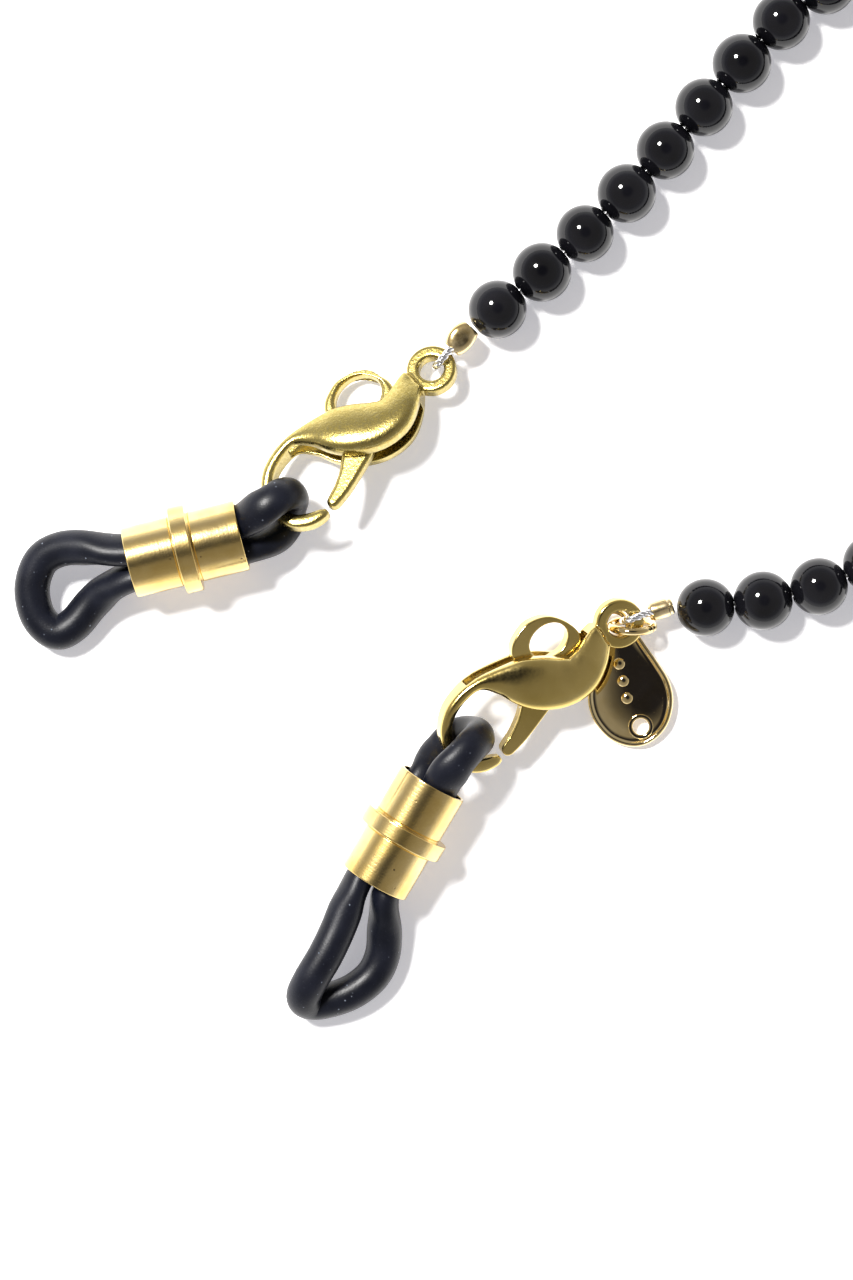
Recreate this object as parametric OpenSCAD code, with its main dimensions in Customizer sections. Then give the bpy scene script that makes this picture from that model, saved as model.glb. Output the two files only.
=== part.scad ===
// Beaded eyeglass chain: a strand of round stone beads on cable wire. Each end has a crimp, a swirl
// lobster clasp, a rubber ring cord and a metal sleeve. The sleeve divides the rubber ring into a
// temple loop, which grips a spectacle arm, and a small loop on the clasp's hook. One end also
// carries a hang tag on a jump ring. Lengths in millimetres, +Z up, lying on the table at z = 0.

/* [Bead strand] */
// Diameter of a bead
bead_d = 3.98; // [3.9:0.02:4.0]
// How much the bead diameters differ from each other, plus and minus
bead_spread = 0.06; // [0:0.01:0.06]
// Diameter of the hole through a bead
bead_hole_d = 1.1; // [1.0:0.05:1.3]
// Distance from bead to bead where the strand is straight
bead_pitch = 3.92; // [3.9:0.01:4.0]
// Distance from bead to bead round the bends of the coil
coil_pitch = 4.12; // [4.1:0.01:4.2]
// Diameter of the beading wire
wire_d = 0.44; // [0.36:0.02:0.46]

/* [Stored coil] */
// Radius of the innermost turn
coil_inner_r = 16; // [14:1:20]
// Distance between neighbouring turns
coil_spacing = 4.15; // [4.1:0.05:4.4]

/* [Clasp] */
// Gap between the two cheeks, in which the trigger turns
slot_w = 1.3; // [1.2:0.05:1.5]
// Thickness of the trigger
trigger_t = 1.1; // [0.9:0.05:1.1]
// Radius of the eyelet's hole
eyelet_hole_r = 0.86; // [0.8:0.02:0.9]
// Diameter of the pivot pin
pin_d = 1.0; // [0.8:0.05:1.0]

/* [Rubber ring and sleeve] */
// Diameter of the rubber cord
rubber_d = 2.44; // [2.3:0.02:2.5]
// Outer diameter of the sleeve
sleeve_d = 4.85; // [4.7:0.05:5]
// Diameter of the sleeve's bore
sleeve_bore_d = 4.4; // [4.36:0.02:4.5]
// Length of the sleeve
sleeve_l = 7.8; // [7:0.1:9]
// Diameter of the collar in the sleeve's middle
collar_d = 6.0; // [5.6:0.1:6]
// Width of the collar
collar_w = 1.15; // [0.8:0.05:1.5]

/* [Jump ring and tag] */
// Radius of the jump ring, to the middle of its wire
ring_r = 1.42; // [1.4:0.02:1.5]
// Diameter of the jump ring's wire
ring_wire_d = 0.56; // [0.5:0.02:0.6]
// Thickness of the tag's plate
tag_t = 0.4; // [0.4:0.05:0.5]

/* [Hidden] */

brass = "#b89b3e";
steel = "#c9ccd0";
onyx = "#101014";
rubber = "#1d1e24";

// The origin is under the middle of everything but the strand
table_shift = [5.48, 2.92, 0];
up = [0, 0, 1];

// Clasps: where the eyelet's centre is, and how the clasp lies: roll, pitch and heading
eyelet_at = [[0.38, 18.23, 1.75], [12.96, 1.17, 2.4]];
clasp_turn = [[-20, 6, 42], [18, 4, 36.5]];

// In the clasp's own axes the eyelet's centre is the origin and the hook points along -X
pivot_at = [-6.3, 0.45, 0];
hook_bar = [-14.3, 0.1, 0];

// Sleeves: middle, heading, rise, and how the two strands lie at the outer and the inner end
sleeve_at = [[-16.24, 6.14, 3.0], [-1.54, -12.96, 3.08]];
sleeve_turn = [[0, 0, 13.8], [0, -4, 59.6]];

// Crimps: middle of the crimp, and its heading
crimp_at = [[2.34, 20.44, 1.95], [15.86, 2.1, 1.95]];
crimp_heading = [48.4, 17.5];
crimp_l = [2.0, 1.7];

// Routes of the two leads, from the first bead to the coil
lead_a = [[4.8, 22.4], [7.8, 24.9], [10.7, 27.5], [13.5, 30.2], [16.2, 33.2], [18.8, 36.1],
          [21.3, 39], [24, 41.9], [27.4, 44.6], [31.5, 46.4], [36, 47.2], [41, 47.2],
          [46, 46.8], [51, 46.3], [56, 45.9]];
lead_b = [[18.9, 2.2], [23, 2.7], [26.8, 3.7], [30.2, 5.2], [33.3, 7.4], [35.7, 10.2], [37.2, 13.3]];

// Stored coil: two arms that wind in side by side and meet in an S in the middle
coil_at = [66, 16];
coil_start = 190;
arm_a_turn = 630;
arm_b_turn = 530;
coil_step = 10;

// Rubber rings: points of the cord's centre line outside the sleeve, from the sleeve's outer
// mouth round the temple loop, and from its inner mouth round the hook
temple_a = [[-22.5, 6.2, 3.1], [-24.5, 6.2, 2.4], [-26, 5.5, 1.9], [-26.7, 4, 1.6], [-26.7, 2.6, 1.4],
            [-26.2, 1.3, 1.25], [-25.1, 0.5, 1.25], [-23.9, 1.1, 1.25], [-22.7, 2.5, 1.4],
            [-21.4, 3.6, 1.9]];
temple_b = [[-5.1, -17.2, 3.1], [-5.9, -19.3, 3.2], [-6.8, -21.2, 3.3], [-7.8, -22.9, 3.1],
            [-8.3, -24.1, 2.3], [-7.8, -24.6, 1.35], [-6.4, -24.4, 1.25], [-4.9, -23.8, 1.25],
            [-3.6, -22.7, 1.25], [-2.95, -21.2, 1.4], [-2.85, -19.3, 1.9], [-2.85, -17.6, 2.6]];
hook_loop_a = [[-10.3, 6.9, 1.7], [-9.5, 7.9, 1.3], [-9.25, 9.0, 1.6], [-8.95, 9.85, 3.1],
               [-9.7, 9.7, 4.6], [-10.9, 8.9, 4.9]];
hook_loop_b = [[1.4, -9, 5], [2.1, -8.1, 5.3], [3, -7.1, 4.9], [3.6, -6.45, 3.2], [2.7, -6.3, 1.5],
               [1.7, -6.7, 1.2], [1.05, -7.5, 1.35], [0.45, -8.4, 1.95]];

// Angle of the pair of strands round the sleeve's axis, at the outer mouth and the inner mouth
pair_angle = [[33, 33], [5, -58]];
pair_offset = 1.04;
// How far the strands stay squeezed beyond each mouth, as room for the sleeve to slide
sleeve_play = 0.9;
// Half thickness and half width of a strand squeezed in the sleeve
squeezed = [1.0, 1.4];

// Tag: centre of its hole, roll, pitch and heading; the plate's own -Y points to its round end
tag_at = [12.74, 0.98, 0.82];
tag_turn = [2.6, -6.5, 12.7];
tag_hole_r = 0.8;
tag_l = 5.3;
grommet_at = [0.28, -7.1];
ring_at = [13.95, 0.95, 1.69];
ring_turn = [106, 0, 0];

// ---------------------------------------------------------------- small functions

function unit(v) = v / norm(v);

function flat(v) = [v[0], v[1], 0];

function rot_x(a, p) = [p[0], p[1] * cos(a) - p[2] * sin(a), p[1] * sin(a) + p[2] * cos(a)];
function rot_y(a, p) = [p[0] * cos(a) + p[2] * sin(a), p[1], -p[0] * sin(a) + p[2] * cos(a)];
function rot_z(a, p) = [p[0] * cos(a) - p[1] * sin(a), p[0] * sin(a) + p[1] * cos(a), p[2]];
function turned(r, p) = rot_z(r[2], rot_y(r[1], rot_x(r[0], p)));

// A point between b and c on the smooth curve through a, b, c and d
function curve_point(a, b, c, d, t) =
    0.5 * (2 * b + (c - a) * t + (2 * a - 5 * b + 4 * c - d) * t * t
           + (3 * b - a - 3 * c + d) * t * t * t);

// A smooth curve through the points, with steps pieces between neighbours
function curve(p, steps) =
    let (n = len(p))
    concat([for (i = [0 : n - 2], k = [0 : steps - 1])
                curve_point(p[max(i - 1, 0)], p[i], p[i + 1], p[min(i + 2, n - 1)], k / steps)],
           [p[n - 1]]);

function closed_curve(p, steps) =
    let (n = len(p))
    [for (i = [0 : n - 1], k = [0 : steps - 1])
        curve_point(p[(i + n - 1) % n], p[i], p[(i + 1) % n], p[(i + 2) % n], k / steps)];

// Distance along a line of points, one value for each point
function run_length(p) =
    [for (i = 0, s = 0; i < len(p);
          s = s + (i + 1 < len(p) ? norm(p[i + 1] - p[i]) : 0), i = i + 1) s];

function column(s, p, k) = [for (i = [0 : len(p) - 1]) [s[i], p[i][k]]];

// ---------------------------------------------------------------- lofts

// A closed solid through rings of points that all have the same count
module loft(rings, closed = false) {
    n = len(rings);
    k = len(rings[0]);
    sides = [for (i = [0 : n - (closed ? 1 : 2)], j = [0 : k - 1])
             let (a = i * k + j, b = i * k + (j + 1) % k, m = ((i + 1) % n) * k)
             each [[a, b, m + j], [b, m + (j + 1) % k, m + j]]];
    start_cap = [for (j = [1 : k - 2]) [0, j + 1, j]];
    end_cap = [for (j = [1 : k - 2]) [(n - 1) * k, (n - 1) * k + j, (n - 1) * k + j + 1]];
    polyhedron([for (r = rings) each r], closed ? sides : concat(sides, start_cap, end_cap));
}

// An ellipse of points round p in the plane of e1 and e2
function ellipse(p, e1, e2, r1, r2, sides) =
    [for (j = [0 : sides - 1]) p + e1 * r1 * cos(360 * j / sides) + e2 * r2 * sin(360 * j / sides)];

function tangent(p, i) =
    let (n = len(p)) unit(p[min(i + 1, n - 1)] - p[max(i - 1, 0)]);

// A round tube along a path; side is a direction square to the path, one for each point
module tube(path, side, r, sides) {
    loft([for (i = [0 : len(path) - 1])
          let (t = tangent(path, i), e1 = unit(side[i] - (side[i] * t) * t))
          ellipse(path[i], e1, cross(t, e1), r, r, sides)]);
}

module on_table() {
    translate(table_shift) children();
}

// ---------------------------------------------------------------- clasp

module at_clasp(end) {
    on_table() translate(eyelet_at[end]) rotate(clasp_turn[end]) children();
}

// The casting's line from the eyelet to the hook's tip: x, y, half width, half thickness at the
// crown, and half height of the straight edge
casting_spine = [[1.7, 0, 0.2, 0.42, 0.36], [1.5, 0, 0.8, 0.52, 0.42], [1.05, 0, 1.34, 0.57, 0.44],
                 [0.4, 0, 1.65, 0.57, 0.44], [-0.3, 0, 1.66, 0.57, 0.44],
                 [-0.9, 0.05, 1.4, 0.62, 0.44], [-1.35, 0.15, 1.0, 0.8, 0.5],
                 [-1.8, 0.1, 0.85, 1.05, 0.7],
                 [-3, -0.55, 1.22, 1.6, 0.92], [-4.3, -0.92, 1.52, 1.85, 0.94],
                 [-5.6, -0.6, 1.74, 1.9, 0.94], [-6.8, 0.24, 1.82, 1.9, 0.94],
                 [-7.9, 1.18, 1.56, 1.75, 0.94], [-9, 2.05, 0.9, 1.45, 0.92],
                 [-10.2, 2.68, 0.42, 1.2, 0.8], [-11.5, 2.65, 0.38, 1.05, 0.7],
                 [-12.8, 2.2, 0.4, 0.95, 0.6], [-13.75, 1.35, 0.4, 0.8, 0.5],
                 [-14.2, 0.3, 0.4, 0.65, 0.4], [-14.25, -0.7, 0.42, 0.6, 0.4],
                 [-13.9, -1.65, 0.46, 0.6, 0.4], [-13.1, -2.3, 0.46, 0.6, 0.4],
                 [-12.2, -2.6, 0.36, 0.55, 0.35], [-11.8, -2.62, 0.2, 0.4, 0.25]];

// Where the casting swells into the cheek its crown flattens, and its ridge moves to one side
crown_flatness = 0.35;
crown_lean = 0.25;
function cheek(v) = max(0, min(1, (v[3] - 0.8) / 0.8));

// Half of the casting's section, from one side over the crown to the other, for one station
function crown(v) =
    [for (j = [0 : 6])
        [v[2] * cos(30 * j),
         v[4] + (v[3] - v[4]) * pow(sin(30 * j), 1 - crown_flatness * cheek(v))
                * (1 - crown_lean * cheek(v) * cos(30 * j))]];

function casting_section(v) =
    let (top = crown(v))
    concat(top, [for (j = [6 : -1 : 0]) [top[j][0], -top[j][1]]]);

function casting_rings(steps) =
    let (c = curve(casting_spine, steps), p = [for (v = c) flat(v)])
    [for (i = [0 : len(c) - 1])
        let (e = cross(up, tangent(p, i)))
        [for (q = casting_section(c[i])) p[i] + e * q[0] + up * q[1]]];

module clasp_body() {
    slot_from = -10.9;
    slot_to = -2.2;
    color(brass) difference() {
        loft(casting_rings(3));
        cylinder(r = eyelet_hole_r, h = 4, center = true, $fn = 64);
        translate([slot_from, -4.5, -slot_w / 2]) cube([slot_to - slot_from, 9, slot_w]);
        translate(pivot_at) cylinder(d = pin_d + 0.04, h = slot_w + 0.8, center = true, $fn = 32);
    }
}

// One flat piece of the trigger, in the slot's middle
module plate() {
    translate([0, 0, -trigger_t / 2]) linear_extrude(trigger_t) children();
}

module gate() {
    plate() polygon([[-6.3, 1.6], [-7.3, 0.9], [-8.75, -0.6], [-9.5, -1.2], [-10.4, -1.68],
                     [-11.3, -2.05], [-11.55, -2.25], [-11.5, -2.62], [-11.2, -2.84],
                     [-10.6, -2.84], [-9.8, -2.65], [-8.4, -2.22], [-7.2, -1.7], [-5.8, -0.8]]);
}

module thumb_ring() {
    plate() translate([-4.9, 1.75]) circle(r = 2.25, $fn = 64);
    plate() polygon([[-5.8, 0.5], [-7.45, 1.2], [-7.3, 2.6], [-7.05, 3.25], [-6.1, 3.5], [-5, 3.5]]);
}

// Pocket in the trigger's face in which the spring lies: round the pin, and under both legs
module spring_pocket() {
    translate([0, 0, 0.08]) linear_extrude(trigger_t) {
        translate([pivot_at[0], pivot_at[1]]) circle(r = 1.22, $fn = 48);
        polygon([[-6.3, 0.45], [-9.6, -0.5], [-9.2, -1.2], [-8.55, -2], [-6.4, -0.7]]);
        polygon([[-6.3, 0.45], [-8.2, 0.4], [-8.2, 2.6], [-6.4, 2.2]]);
    }
}

module trigger() {
    color(brass) difference() {
        union() {
            translate(pivot_at) cylinder(r = 1.45, h = trigger_t, center = true, $fn = 64);
            gate();
            thumb_ring();
        }
        translate([-4.75, 1.95, 0]) cylinder(r = 1.32, h = trigger_t + 1, center = true, $fn = 64);
        translate(pivot_at) cylinder(d = pin_d + 0.1, h = trigger_t + 1, center = true, $fn = 32);
        spring_pocket();
    }
}

module pivot_pin() {
    color(steel) translate(pivot_at)
        cylinder(d = pin_d, h = slot_w + 0.7, center = true, $fn = 32);
}

// Torsion spring: a leg on the gate, one and a half turns round the pin, a leg along the hook's arm
module spring() {
    coil_r = 0.85;
    leg_turn = 277;
    coil_turn = 525.5;
    gate_leg = [2.75 * cos(204), 2.75 * sin(204), 0.22];
    arm_leg = [-3.9, 2.0, 0.44];
    path = concat([gate_leg],
                  [for (k = [0 : 24])
                   [coil_r * cos(leg_turn + coil_turn * k / 24), coil_r * sin(leg_turn + coil_turn * k / 24),
                    0.22 + 0.22 * k / 24]],
                  [arm_leg]);
    color(steel) translate(pivot_at) tube(path, [for (p = path) up], 0.095, 6);
}

// ---------------------------------------------------------------- rubber ring and sleeve

// The two strands in the sleeve, side = 1 or -1, t from 0 at the outer mouth to 1 at the inner one
function strand_point(end, side, t) =
    let (a = pair_angle[end][0] * (1 - t) + pair_angle[end][1] * t,
         x = (t - 0.5) * sleeve_l,
         p = [x, side * pair_offset * cos(a), side * pair_offset * sin(a)])
    sleeve_at[end] + turned(sleeve_turn[end], p);

function strand(end, side) = [for (t = [0 : 0.25 : 1]) strand_point(end, side, t)];

function reversed(p) = [for (i = [len(p) - 1 : -1 : 0]) p[i]];

// The whole ring: out round the temple loop, through the sleeve, round the hook, and back
function ring_points(end, temple, hook) =
    concat(temple, strand(end, -1), hook, reversed(strand(end, 1)));

// How far a point is from the sleeve: 0 inside it, 1 well clear of it
function clear_of_sleeve(end, p) =
    let (axis = turned(sleeve_turn[end], [1, 0, 0]),
         s = abs((p - sleeve_at[end]) * axis) - sleeve_l / 2)
    max(0, min(1, (s - sleeve_play) / 1.6));

// The point of the line from a to b that is nearest to p
function nearest(p, a, b) =
    a + (b - a) * max(0, min(1, (p - a) * (b - a) / ((b - a) * (b - a))));

module rubber_ring(end, temple, hook, bend_at) {
    path = closed_curve(ring_points(end, temple, hook), 2);
    n = len(path);
    axis = turned(sleeve_turn[end], [1, 0, 0]);
    loop_mid = (temple[2] + temple[len(temple) - 3]) / 2;
    color(rubber) on_table()
        loft([for (i = [0 : n - 1])
              let (t = unit(path[(i + 1) % n] - path[(i + n - 1) % n]),
                   s = (path[i] - sleeve_at[end]) * axis,
                   middle = s < -sleeve_l / 2 ? nearest(path[i], sleeve_at[end] - axis * sleeve_l / 2, loop_mid)
                          : s > sleeve_l / 2 ? nearest(path[i], sleeve_at[end] + axis * sleeve_l / 2, bend_at)
                          : sleeve_at[end] + axis * s,
                   out = path[i] - middle,
                   e1 = unit(out - (out * t) * t),
                   k = clear_of_sleeve(end, path[i]),
                   bend = max(0, 1 - norm(path[i] - bend_at) / 3.4),
                   r1 = squeezed[0] * (1 - k) + (rubber_d / 2 - 0.55 * bend) * k,
                   r2 = squeezed[1] * (1 - k) + (rubber_d / 2) * k)
              ellipse(path[i], e1, cross(t, e1), r1, r2, 12)], closed = true);
}

module sleeve(end) {
    chamfer = 0.12;
    color(brass) on_table() translate(sleeve_at[end]) rotate(sleeve_turn[end]) rotate([0, 90, 0])
        rotate_extrude($fn = 96)
            polygon([[sleeve_bore_d / 2, -sleeve_l / 2], [sleeve_d / 2 - chamfer, -sleeve_l / 2],
                     [sleeve_d / 2, -sleeve_l / 2 + chamfer], [sleeve_d / 2, -collar_w / 2],
                     [collar_d / 2 - chamfer, -collar_w / 2], [collar_d / 2, -collar_w / 2 + chamfer],
                     [collar_d / 2, collar_w / 2 - chamfer], [collar_d / 2 - chamfer, collar_w / 2],
                     [sleeve_d / 2, collar_w / 2], [sleeve_d / 2, sleeve_l / 2 - chamfer],
                     [sleeve_d / 2 - chamfer, sleeve_l / 2], [sleeve_bore_d / 2, sleeve_l / 2]]);
}

// ---------------------------------------------------------------- jump ring and tag

module jump_ring() {
    // The ring's cut is closed; its ends meet
    color(brass) on_table() translate(ring_at) rotate(ring_turn)
        rotate_extrude($fn = 64) translate([ring_r, 0]) circle(d = ring_wire_d, $fn = 24);
}

module at_tag() {
    on_table() translate(tag_at) rotate(tag_turn) children();
}

// Right half of the tag's egg-shaped outline, from its narrow end to its round end
tag_half = [[0, 1.15], [0.85, 0.8], [1.32, -0.4], [1.85, -1.8], [2.42, -3.2], [2.86, -4.6],
            [2.78, -6], [2.1, -7.35], [1.08, -8.15], [0, -8.42]];
tag_outline = closed_curve(concat(tag_half, [for (i = [len(tag_half) - 2 : -1 : 1])
                                                 [-tag_half[i][0], tag_half[i][1]]]), 4);

// The outline, moved in towards the tag's middle line
module egg(inset) {
    polygon([for (p = tag_outline) p + inset * unit(nearest(p, [0, 0], [0, -tag_l]) - p)]);
}

module hang_tag() {
    rim_h = 0.12;
    rim_w = 0.3;
    motif_r = 0.42;
    color(brass) at_tag() difference() {
        union() {
            translate([0, 0, -tag_t / 2]) linear_extrude(tag_t) egg(0);
            translate([0, 0, tag_t / 2 - 0.02]) linear_extrude(rim_h) difference() {
                egg(0);
                egg(rim_w);
                circle(r = 2, $fn = 48);
            }
            // Plain ornament: three small raised rounds in a row
            for (y = [-2.6, -3.8, -5])
                translate([-0.2, y, tag_t / 2 - 0.05]) cylinder(r = motif_r, h = 0.15, $fn = 32);
        }
        cylinder(r = tag_hole_r, h = 3, center = true, $fn = 48);
        translate(grommet_at) cylinder(r = 0.72, h = 3, center = true, $fn = 48);
    }
}

module tag_grommet() {
    color(brass) at_tag() translate(grommet_at) rotate_extrude($fn = 48)
        polygon([[0.55, -tag_t / 2], [0.7, -tag_t / 2], [0.7, tag_t / 2], [0.86, tag_t / 2],
                 [0.86, tag_t / 2 + 0.12], [0.78, tag_t / 2 + 0.2], [0.55, tag_t / 2 + 0.2]]);
}

// ---------------------------------------------------------------- strand

function arm_point(start, turn) =
    let (r = coil_inner_r + coil_spacing * turn / 180)
    [coil_at[0] + r * cos(start + turn), coil_at[1] + r * sin(start + turn)];

// One half of the S in the middle: a half circle from the coil's middle to an arm's inner end
function half_s(start) =
    [for (a = [0 : coil_step : 180 - coil_step])
        coil_at + coil_inner_r / 2 * [cos(start) - cos(start + a), sin(start) - sin(start + a)]];

coil_arm_a = [for (a = [arm_a_turn : -coil_step : 0]) arm_point(coil_start, a)];
coil_arm_b = [for (a = [0 : coil_step : arm_b_turn]) arm_point(coil_start + 180, a)];
coil_centre = concat(reversed(half_s(coil_start)), half_s(coil_start + 180));

// The middle line of the bead strand, from the first bead to the last, and the distance along it
strand_line = concat(curve(lead_a, 3), coil_arm_a, coil_centre, coil_arm_b, reversed(curve(lead_b, 3)));
strand_run = run_length(strand_line);
strand_l = strand_run[len(strand_run) - 1];
strand_x = column(strand_run, strand_line, 0);
strand_y = column(strand_run, strand_line, 1);

// Beads on the two straight stretches, and on the strand as a whole
near_a = 8;
near_b = 4;
far_l = strand_l - (near_a + near_b) * bead_pitch;
far_count = floor(far_l / coil_pitch);
far_gap = far_l / far_count;
bead_count = near_a + far_count + near_b + 1;

function bead_size(i) = bead_d + bead_spread * sin(i * 137);
function on_strand(s) = [lookup(s, strand_x), lookup(s, strand_y)];
function bead_run(i) =
    i < near_a ? i * bead_pitch
    : i > near_a + far_count ? strand_l - (bead_count - 1 - i) * bead_pitch
    : near_a * bead_pitch + (i - near_a) * far_gap;
function bead_at(i) = concat(on_strand(bead_run(i)), [bead_size(i) / 2]);
function bead_heading(i) =
    let (d = on_strand(bead_run(i) + 0.5) - on_strand(bead_run(i) - 0.5)) atan2(d[1], d[0]);

module beads(first, last) {
    color(onyx) on_table() for (i = [first : last])
        translate(bead_at(i)) rotate([0, 90, bead_heading(i)]) difference() {
            sphere(d = bead_size(i), $fn = 64);
            cylinder(d = bead_hole_d, h = bead_d + 2, center = true, $fn = 24);
        }
}

// Wire from the tail in the crimp, round the eyelet's rim and back: distance from the eyelet's
// centre towards the crimp, and height
loop_a = [[3.85, 2.2], [2.3, 2.25], [1.75, 2.6], [1.2, 2.76], [0.62, 2.62], [0.4, 1.8], [0.44, 0.9],
          [0.9, 0.4], [1.6, 0.45], [2, 1.1], [2.4, 1.7], [3.85, 1.75]];
loop_b = [[3.75, 2.15], [2.4, 2.35], [1.95, 2.85], [1.4, 3.24], [0.75, 3.18], [0.4, 2.4], [0.42, 1.7],
          [0.9, 1.36], [1.65, 1.34], [2.05, 1.45], [2.4, 1.68], [3.75, 1.76]];

function loop_path(end, points) =
    let (d = [cos(crimp_heading[end]), sin(crimp_heading[end]), 0])
    [for (p = curve(points, 2)) flat(eyelet_at[end]) + d * p[0] + up * p[1]];

module beading_wire() {
    wire_z = 1.98;
    path = concat(loop_path(0, loop_a),
                  [concat(on_strand(0), [wire_z])],
                  [for (i = [0 : bead_count - 2])
                   concat(on_strand((bead_run(i) + bead_run(i + 1)) / 2), [wire_z])],
                  [concat(on_strand(strand_l), [wire_z])],
                  reversed(loop_path(1, loop_b)));
    n = len(path);
    loop_n = len(loop_path(0, loop_a));
    side_a = [-sin(crimp_heading[0]), cos(crimp_heading[0]), 0];
    side_b = [sin(crimp_heading[1]), -cos(crimp_heading[1]), 0];
    color(steel) on_table()
        tube(path, [for (i = [0 : n - 1]) i < loop_n ? side_a
                    : i >= n - loop_n ? side_b
                    : cross(up, tangent(path, i))], wire_d / 2, 6);
}

module at_crimp(end) {
    on_table() translate(crimp_at[end]) rotate([0, 0, crimp_heading[end]]) rotate([0, 90, 0]) children();
}

// Crimp pressed flat on four sides
module crimp_a() {
    r = 0.95;
    flat_w = 0.72;
    color(brass) at_crimp(0) intersection() {
        difference() {
            rotate_extrude($fn = 48)
                polygon([[0, -crimp_l[0] / 2], [0.72, -crimp_l[0] / 2], [r, -0.35], [r, 0.35],
                         [0.72, crimp_l[0] / 2], [0, crimp_l[0] / 2]]);
            cylinder(r = 0.56, h = 4, center = true, $fn = 32);
        }
        rotate([0, 0, 45]) cube([flat_w * 2, flat_w * 2, 4], center = true);
    }
}

// Plain crimp tube, closed a little at its clasp end
module crimp_b() {
    l = crimp_l[1];
    color(brass) at_crimp(1) rotate_extrude($fn = 48)
        polygon([[0.5, -l / 2], [0.56, -l / 2], [0.66, -l / 2 + 0.25], [0.66, l / 2 - 0.1],
                 [0.6, l / 2], [0.5, l / 2]]);
}

// ---------------------------------------------------------------- nodes

module clasp_body_a() { at_clasp(0) clasp_body(); }
module trigger_a() { at_clasp(0) trigger(); }
module pivot_pin_a() { at_clasp(0) pivot_pin(); }
module spring_a() { at_clasp(0) spring(); }
module rubber_ring_a() { rubber_ring(0, temple_a, hook_loop_a, hook_bar_place(0)); }
module sleeve_a() { sleeve(0); }
module clasp_body_b() { at_clasp(1) clasp_body(); }
module trigger_b() { at_clasp(1) trigger(); }
module pivot_pin_b() { at_clasp(1) pivot_pin(); }
module spring_b() { at_clasp(1) spring(); }
module rubber_ring_b() { rubber_ring(1, temple_b, hook_loop_b, hook_bar_place(1)); }
module sleeve_b() { sleeve(1); }

function hook_bar_place(end) = eyelet_at[end] + turned(clasp_turn[end], hook_bar);

// Number of the bead after the last one of each stretch of the strand
lead_a_end = 15;
outer_a_end = 46;
inner_a_end = 77;
centre_end = 89;
inner_b_end = 114;
outer_b_end = 139;

clasp_body_a();
trigger_a();
pivot_pin_a();
spring_a();
rubber_ring_a();
sleeve_a();
clasp_body_b();
trigger_b();
pivot_pin_b();
spring_b();
rubber_ring_b();
sleeve_b();
jump_ring();
hang_tag();
tag_grommet();
crimp_a();
crimp_b();
beading_wire();
beads(0, lead_a_end - 1);  // beads_lead_a
beads(lead_a_end, outer_a_end - 1);  // beads_coil_outer_a
beads(outer_a_end, inner_a_end - 1);  // beads_coil_inner_a
beads(inner_a_end, centre_end - 1);  // beads_coil_centre
beads(centre_end, inner_b_end - 1);  // beads_coil_inner_b
beads(inner_b_end, outer_b_end - 1);  // beads_coil_outer_b
beads(outer_b_end, bead_count - 1);  // beads_lead_b
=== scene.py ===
"""Looks of the beaded eyeglass chain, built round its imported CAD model.

Shapes are modelled in millimetres, in the same axes as the design, and put into metres at the end.
"""
import math

import bmesh
import bpy
import numpy as np
from mathutils import Euler, Matrix, Vector


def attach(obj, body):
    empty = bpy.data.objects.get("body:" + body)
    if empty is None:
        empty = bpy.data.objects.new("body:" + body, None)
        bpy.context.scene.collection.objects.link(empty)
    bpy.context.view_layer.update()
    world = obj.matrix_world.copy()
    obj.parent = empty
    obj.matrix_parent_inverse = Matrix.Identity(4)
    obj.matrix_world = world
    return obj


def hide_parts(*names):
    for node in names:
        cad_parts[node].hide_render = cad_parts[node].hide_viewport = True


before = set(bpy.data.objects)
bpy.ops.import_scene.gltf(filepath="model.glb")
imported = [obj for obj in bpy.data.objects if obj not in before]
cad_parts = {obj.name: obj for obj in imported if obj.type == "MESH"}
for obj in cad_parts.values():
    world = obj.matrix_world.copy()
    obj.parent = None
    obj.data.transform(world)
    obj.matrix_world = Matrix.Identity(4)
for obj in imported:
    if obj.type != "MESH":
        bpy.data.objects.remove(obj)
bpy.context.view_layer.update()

MM = 0.001
TABLE_SHIFT = np.array([5.48, 2.92, 0.0])
UP = np.array([0.0, 0.0, 1.0])
LETTER = "ab"

# The two ends: where each clasp's eyelet is, and the clasp's roll, pitch and heading
EYELET = np.array([[0.38, 18.23, 1.75], [12.96, 1.17, 2.4]])
CLASP_TURN = [(-20, 6, 42), (18, 4, 36.5)]
PIVOT = np.array([-6.3, 0.45, 0.0])
HOOK_BAR = np.array([-14.3, 0.1, 0.0])
SLOT_W = 1.3
TRIGGER_T = 1.1

# Sleeves and the two strands of rubber in them
SLEEVE_AT = np.array([[-16.24, 6.14, 3.0], [-1.54, -12.96, 3.08]])
SLEEVE_TURN = [(0, 0, 13.8), (0, -4, 59.6)]
SLEEVE_L = 7.8
SLEEVE_R = 2.425
SLEEVE_BORE_R = 2.2
COLLAR_R = 3.0
COLLAR_W = 1.15
PAIR_ANGLE = [(33, 33), (5, -58)]
PAIR_OFFSET = 1.04
RUBBER_R = 1.22

# Rubber in a sleeve: its half thickness and half width, how far out of the sleeve it stays so,
# and the length over which it then fills out
SQUEEZED = (1.0, 1.4)
SLEEVE_PLAY = 1.2
SQUEEZE_RUN = 1.6

# Rubber over the hook: how much thinner it gets, and from how far away
BEND_THINNING = 0.6
BEND_REACH = 3.4

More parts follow.
